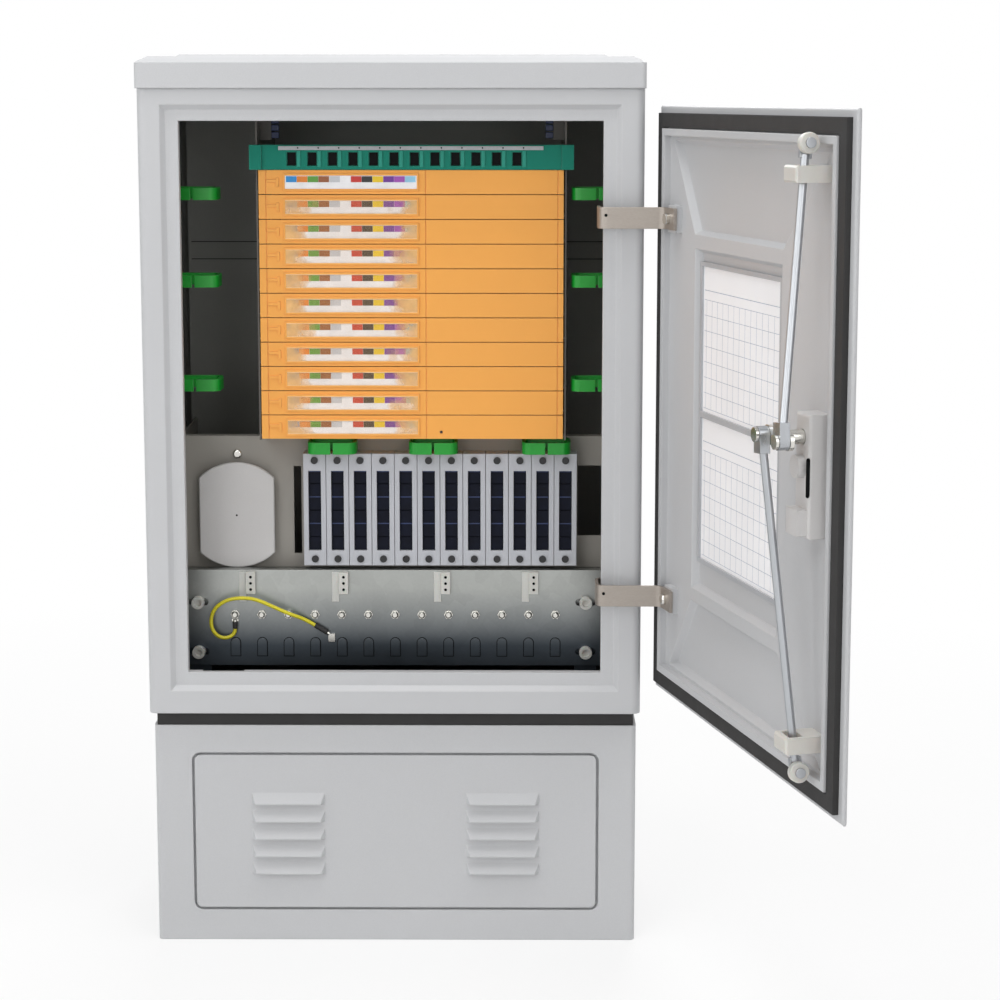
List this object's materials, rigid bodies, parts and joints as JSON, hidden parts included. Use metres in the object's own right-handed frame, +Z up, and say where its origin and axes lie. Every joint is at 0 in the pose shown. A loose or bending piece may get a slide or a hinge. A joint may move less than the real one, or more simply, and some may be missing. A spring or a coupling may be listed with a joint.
{
  "type": "roadside utility cabinet",
  "caption": "Free-standing moulded cabinet on a louvred plinth, with a side-hung door on gooseneck hinges, sliding fibre splice trays, a rod lock and an earthing plate.",
  "frame": {"origin": "middle of the plinth's footprint on the ground, at the centre of the four anchor holes", "axes": "+Z up, +X to the right seen from the front, +Y from the front into the cabinet"},
  "size_m": [0.7392, 0.7712, 1.0315],
  "materials": {
    "moulded_grey": "satin moulded sheet compound",
    "black_rubber": "matte",
    "tray_orange": "satin",
    "tray_teal": "satin",
    "strip_grey": "satin",
    "ring_green": "gloss",
    "plate_beige": "satin",
    "adapter_navy": "gloss",
    "screw_black": "satin",
    "bright_steel": "polished",
    "galvanised": "galvanised",
    "hinge_steel": "brushed",
    "nylon_white": "satin",
    "wire_yellow": "satin",
    "card_white": "matte",
    "handle_grey": "satin"
  },
  "bodies": {
    "cabinet": {"cable_grommets": "black_rubber", "earth_lugs": "bright_steel", "earth_sleeves": "black_rubber", "earth_wire": "wire_yellow", "fibre_rings": "ring_green", "floor_panel": "moulded_grey", "front_frame": "moulded_grey", "ground_brackets": "galvanised", "ground_plate": "galvanised", "ground_studs": "bright_steel", "hinge_brackets": "hinge_steel", "hinge_pins": "hinge_steel", "insulating_bolts": "nylon_white", "left_side_panel": "moulded_grey", "mid_plate": "plate_beige", "neck_seal": "black_rubber", "parking_adapters": "adapter_navy", "parking_frames": "strip_grey", "parking_screws": "screw_black", "plate_clips": "nylon_white", "plinth": "moulded_grey", "plinth_cover": "moulded_grey", "rack_back_plate": "galvanised", "rack_standoffs": "galvanised", "rear_panel": "moulded_grey", "right_side_panel": "moulded_grey", "roof_cap": "moulded_grey", "spool_cover": "strip_grey", "spool_screw": "bright_steel", "tray_rack": "galvanised"},
    "door": {"door_panel": "moulded_grey", "door_gasket": "black_rubber", "hinge_straps": "hinge_steel", "hinge_bolts": "bright_steel", "record_cards": "card_white", "card_holder": "strip_grey", "rod_guides": "nylon_white", "lock_case": "strip_grey", "lock_escutcheon": "handle_grey"},
    "lock": {"lock_handle": "handle_grey", "lock_cam": "bright_steel"},
    "upper_rod_body": {"upper_rod": "hinge_steel"},
    "lower_rod_body": {"lower_rod": "hinge_steel"},
    "upper_roller_body": {"upper_roller": "nylon_white"},
    "lower_roller_body": {"lower_roller": "nylon_white"},
    "adapter_tray_body": {"adapter_tray": "tray_teal", "adapter_strip": "strip_grey"},
    "tray_01_body": {"tray_01": "tray_orange"},
    "tray_02_body": {"tray_02": "tray_orange"},
    "tray_03_body": {"tray_03": "tray_orange"},
    "tray_04_body": {"tray_04": "tray_orange"},
    "tray_05_body": {"tray_05": "tray_orange"},
    "tray_06_body": {"tray_06": "tray_orange"},
    "tray_07_body": {"tray_07": "tray_orange"},
    "tray_08_body": {"tray_08": "tray_orange"},
    "tray_09_body": {"tray_09": "tray_orange"},
    "tray_10_body": {"tray_10": "tray_orange"},
    "tray_11_body": {"tray_11": "tray_orange"}
  },
  "joints": [
    {"name": "door_swing", "type": "hinge", "parent": "cabinet", "child": "door", "pos_m": [0.27, -0.12, 0.6355], "axis": [0, 0, 1], "range_deg": [-106.2, 8]},
    {"name": "lock_turn", "type": "hinge", "parent": "door", "child": "lock", "pos_m": [0.42404, -0.56312, 0.668], "axis": [0.9603, 0.279, 0], "range_deg": [-90, 0]},
    {"name": "upper_rod_pivot", "type": "hinge", "parent": "lock", "child": "upper_rod_body", "pos_m": [0.38532, -0.59936, 0.668], "axis": [0.9603, 0.279, 0], "range_deg": [0, 95.4]},
    {"name": "upper_roller_spin", "type": "hinge", "parent": "upper_rod_body", "child": "upper_roller_body", "pos_m": [0.40885, -0.57125, 0.9423], "axis": [0.2879, -0.9528, 0.0959], "continuous": true},
    {"name": "lower_rod_pivot", "type": "hinge", "parent": "lock", "child": "lower_rod_body", "pos_m": [0.37193, -0.55327, 0.668], "axis": [0.9603, 0.279, 0], "range_deg": [0, 94.5]},
    {"name": "lower_roller_spin", "type": "hinge", "parent": "lower_rod_body", "child": "lower_roller_body", "pos_m": [0.40963, -0.57619, 0.34471], "axis": [0.271, -0.9592, 0.0801], "continuous": true},
    {"name": "tray_01_slide", "type": "slide", "parent": "cabinet", "child": "tray_01_body", "axis": [0, -1, 0], "range_m": [0, 0.12]},
    {"name": "tray_02_slide", "type": "slide", "parent": "cabinet", "child": "tray_02_body", "axis": [0, -1, 0], "range_m": [0, 0.12]},
    {"name": "tray_03_slide", "type": "slide", "parent": "cabinet", "child": "tray_03_body", "axis": [0, -1, 0], "range_m": [0, 0.12]},
    {"name": "tray_04_slide", "type": "slide", "parent": "cabinet", "child": "tray_04_body", "axis": [0, -1, 0], "range_m": [0, 0.12]},
    {"name": "tray_05_slide", "type": "slide", "parent": "cabinet", "child": "tray_05_body", "axis": [0, -1, 0], "range_m": [0, 0.12]},
    {"name": "tray_06_slide", "type": "slide", "parent": "cabinet", "child": "tray_06_body", "axis": [0, -1, 0], "range_m": [0, 0.12]},
    {"name": "tray_07_slide", "type": "slide", "parent": "cabinet", "child": "tray_07_body", "axis": [0, -1, 0], "range_m": [0, 0.12]},
    {"name": "tray_08_slide", "type": "slide", "parent": "cabinet", "child": "tray_08_body", "axis": [0, -1, 0], "range_m": [0, 0.12]},
    {"name": "tray_09_slide", "type": "slide", "parent": "cabinet", "child": "tray_09_body", "axis": [0, -1, 0], "range_m": [0, 0.12]},
    {"name": "tray_10_slide", "type": "slide", "parent": "cabinet", "child": "tray_10_body", "axis": [0, -1, 0], "range_m": [0, 0.12]},
    {"name": "tray_11_slide", "type": "slide", "parent": "cabinet", "child": "tray_11_body", "axis": [0, -1, 0], "range_m": [0, 0.12]},
    {"name": "adapter_tray_slide", "type": "slide", "parent": "cabinet", "child": "adapter_tray_body", "axis": [0, -1, 0], "range_m": [0, 0.12]}
  ],
  "couplings": [
    {"joint": "upper_rod_pivot", "follows": "lock_turn", "ratio": -1.0585},
    {"joint": "lower_rod_pivot", "follows": "lock_turn", "ratio": -1.0486}
  ]
}
